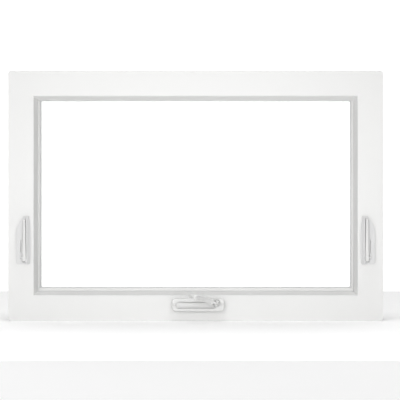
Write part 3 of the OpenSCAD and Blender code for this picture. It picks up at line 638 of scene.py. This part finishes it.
# %% Boss, tongue and eyes
ARM_BOSS_RINGS = [(6.0, -2.5), (6.5, -2.0), (6.5, 2.0), (6.0, 2.5)]
TONGUE_LONG, TONGUE = 14 * MM, 5.4 * MM
ARM_EDGE = 0.7 * MM
across = Matrix.Rotation(math.radians(90), 4, "X")
arm_tip = Matrix.Translation((-reach, 0, 0)) @ across
combine(arm, turned("boss", ARM_BOSS_RINGS, arm_tip), "UNION")
tongue = block("tongue", (TONGUE_LONG, ARM_DEEP, TONGUE), (-TONGUE_LONG / 2, 0, 0))
combine(arm, tongue, "UNION")
combine(arm, turned("knuckle", [(3.7, -2.7), (3.7, 2.7)]), "UNION")
combine(arm, turned("eye", [(2.05, -5), (2.05, 5)], steps=24), "DIFFERENCE")
combine(arm, turned("hole", [(2, -8), (2, 8)], arm_tip, 24), "DIFFERENCE")
soften(arm, ARM_EDGE, 3)
arm.matrix_world = handle
hand_over(arm, "handle", "enamel", "crank_arm")

# %% [markdown]
# ## The grip
#
# The grip is turned in one go, with a waist for two fingers and a round end, and bored
# for the rivet that it spins on.

# %% Grip
GRIP_RINGS = [
    (4.6, 0), (5.4, 0.4), (5.9, 1.2), (5.6, 3.0), (5.3, 5.5), (5.6, 8.5), (6.3, 11.5),
    (6.8, 13.8), (7.0, 15.2), (6.8, 17.2), (6.2, 18.6), (5.4, 19.4), (4.2, 19.8),
]
GRIP_START = 2.8 * MM
grip_place = handle @ Matrix.Translation((-reach, -GRIP_START, 0)) @ across
grip = turned("crank_grip", GRIP_RINGS, grip_place, 48)
combine(grip, turned("bore", [(2.05, -2), (2.05, 24)], grip_place, 24), "DIFFERENCE")
hand_over(grip, "knob", "cover_plastic", "crank_knob")

# %% [markdown]
# ## The lock plates
#
# Each lock is a leaf-shaped plate with a slot, and a lever that folds flat along it. The
# plate is one casting whose shoulder slopes towards the glass, so it catches the shade.
# The right lock is the mirror image of the left, and both come from the design's outline.

# %% Lock plates
PLATE_EDGE = 1.0 * MM
for side in ("left", "right"):
    node = "lock_plate_" + side
    piece = clean_copy(node, "leaf_plate_" + side)
    edit(piece, False)
    soften(piece, PLATE_EDGE, 3, 40)
    hand_over(piece, "frame", "cover_plastic", node, finish="plate_enamel")

# %% [markdown]
# ## The lock levers
#
# A lever is a blade that narrows to its tip, a turned hub on the pivot and a short tail
# below it that fills the plate's slot. Both levers come from one function, which takes
# its size and its pivot from the design.

# %% Lock levers
BLADE_DEEP, TIP_SHARE = 6.4 * MM, 0.62
TIP_ROUND, FACE_ROUND, LEVER_EDGE = 2.6 * MM, 2.4 * MM, 0.3 * MM
TAIL, TAIL_DEEP, TAIL_BACK = 10.3 * MM, 3 * MM, 2.5 * MM
TAIL_SLIP, TAIL_ROUND = 0.6 * MM, 0.8 * MM


def lever_blade(name, low_corner, high_corner, pivot):
    centre_x = (low_corner.x + high_corner.x) / 2
    width = high_corner.x - low_corner.x
    length = high_corner.z - pivot.z
    centre = (centre_x, low_corner.y + BLADE_DEEP / 2, pivot.z + length / 2)
    blade = block(name, (width, BLADE_DEEP, length), centre)
    edit(blade)
    pick_faces(blade, lambda face: face.normal.z > FACING)
    tip = (centre_x, low_corner.y, high_corner.z)
    bpy.ops.transform.resize(value=(TIP_SHARE, 1, 1), center_override=tip)
    pick_edges(blade, lambda line: (
        all(v.co.z > high_corner.z - MM for v in line.verts) and runs_deep(line, BLADE_DEEP / 2)
    ))
    bpy.ops.mesh.bevel(offset=TIP_ROUND, segments=5, affect="EDGES")
    pick_faces(blade, lambda face: face.normal.y < -FACING)
    bpy.ops.mesh.bevel(offset=FACE_ROUND, segments=4, affect="EDGES")
    edit(blade, False)
    return blade


for side in ("left", "right"):
    node = "lock_lever_" + side
    lever_low, lever_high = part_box(node)
    pivot = Vector(joint["lever_turn_" + side]["pos_m"])
    width = lever_high.x - lever_low.x
    centre_x = (lever_low.x + lever_high.x) / 2
    lever = lever_blade("lever_blade_" + side, lever_low, lever_high, pivot)
    tail_at = (centre_x, pivot.y - TAIL_BACK, pivot.z - TAIL / 2)
    tail = block("tail", (width - TAIL_SLIP, TAIL_DEEP, TAIL), tail_at)
    soften(tail, TAIL_ROUND, 3)
    combine(lever, tail, "UNION")
    pivot_place = pointing((lever_low.x, pivot.y, pivot.z), (1, 0, 0))
    width_mm = width / MM
    boss_rings = [(4.6, 0), (5, 0.4), (5, width_mm - 0.4), (4.6, width_mm)]
    combine(lever, turned("boss", boss_rings, pivot_place), "UNION")
    combine(lever, turned("eye", [(2.55, -2), (2.55, 14)], pivot_place, 24), "DIFFERENCE")
    soften(lever, LEVER_EDGE, 2)
    hand_over(lever, "lever_" + side, "enamel", node)

# %% [markdown]
# ## The floor
#
# The window stands on white paper that is wider than the view. Its far edge does show, as
# a faint level line at both sides of the frame, a little above the sill's foot.

# %% Floor
FLOOR_W, FLOOR_D, FLOOR_Y = 5, 3.6, -0.7
bpy.ops.object.select_all(action="DESELECT")
bpy.ops.mesh.primitive_plane_add(size=1, location=(0, FLOOR_Y, 0))
floor = bpy.context.object
floor.name = "studio_floor"
floor.scale = (FLOOR_W, FLOOR_D, 1)
bpy.ops.object.transform_apply(location=True, rotation=True, scale=True)
# Matt paper: nearly white, with the finest of tooth.
skin("floor", "matte_white_paper", ("#FAFAFA", "#FCFCFC"), 1.0, 0.01, 0.9, drift_mm=400)
floor.data.materials.append(finishes["floor"])
print("floor, m:", FLOOR_W, "by", FLOOR_D)

# %% [markdown]
# ## The studio
#
# This is a catalogue shot: white on white, with all shape drawn by soft shade. The studio
# is brightest behind the window, less bright in front of it, and dim at both sides, so
# faces that look sideways turn grey.

# %% The studio's walls
BEHIND, AHEAD, ASIDE = 1.25, 0.80, 0.19
AHEAD_UNTIL, BEHIND_FROM = -0.2, 0.5
MIDDLE_UNTIL, ASIDE_FROM = 0.25, 0.95
world = bpy.data.worlds.new("studio")
bpy.context.scene.world = world
world.use_nodes = True
sky = world.node_tree
sky.nodes.clear()
way = add_node(sky, "SeparateXYZ", {"Vector": add_node(sky, "TexCoord", {}).outputs["Generated"]})
sideways = add_node(sky, "Math", {0: way.outputs["X"]}, operation="ABSOLUTE")
depthwise = add_node(sky, "MapRange", {
    "Value": way.outputs["Y"], "From Min": AHEAD_UNTIL, "From Max": BEHIND_FROM,
    "To Min": AHEAD, "To Max": BEHIND,
}, interpolation_type="SMOOTHSTEP")
power = add_node(sky, "MapRange", {
    "Value": sideways.outputs[0], "From Min": MIDDLE_UNTIL, "From Max": ASIDE_FROM,
    "To Min": depthwise.outputs["Result"], "To Max": ASIDE,
}, interpolation_type="SMOOTHSTEP")
glow = add_node(sky, "Background", {
    "Color": (1.0, 1.0, 1.0, 1.0), "Strength": power.outputs["Result"],
})
add_node(sky, "OutputWorld", {"Surface": glow.outputs["Background"]})
bpy.context.scene.view_settings.view_transform = "Standard"
print("studio:", len(sky.nodes), "nodes")

# %% [markdown]
# ## Three softboxes
#
# One at the upper left makes that side a little brighter, one overhead lights the ledges,
# and a low one in front lifts the slope under the head. A softbox shines only forwards, so
# the low one also leaves a faint straight edge on the paper, where its own plane meets the
# floor. Sizes are metres, powers watts.

# %% Softboxes
def softbox(name, place, size, power, aim):
    bpy.ops.object.light_add(type="AREA", location=place)
    lamp = bpy.context.object
    lamp.name = name
    lamp.data.size = size
    lamp.data.energy = power
    lamp.visible_camera = False
    lamp.rotation_euler = (Vector(aim) - lamp.location).to_track_quat("-Z", "Y").to_euler()
    print(name, "watts:", power)


softbox("softbox_left", (-1.8, -2.4, 1.6), 1.6, 8, (0, 0, middle.z))
softbox("softbox_top", (0, -0.4, 3.0), 0.9, 18, (0, -0.4, 0))
softbox("softbox_low", (0, -0.95, 0.12), 1.2, 10, (0, 0.3, 0.6))

# %% [markdown]
# ## The camera
#
# The camera looks straight on from the room, with a long lens, so the four sides of the
# frame stay parallel and show only a sliver of their depth.

# %% Camera
CAMERA_AWAY, ASIDE_X, EYE_HEIGHT = 3.5, 0.0106, 0.2945
LENS_MM, FILM_MM = 129.3, 36
face_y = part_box("frame_head")[0].y
bpy.ops.object.camera_add(
    location=(ASIDE_X, face_y - CAMERA_AWAY, EYE_HEIGHT), rotation=(math.radians(90), 0, 0),
)
camera = bpy.context.object
camera.data.lens = LENS_MM
camera.data.sensor_width = FILM_MM
bpy.context.scene.camera = camera
print("lens, mm:", LENS_MM)
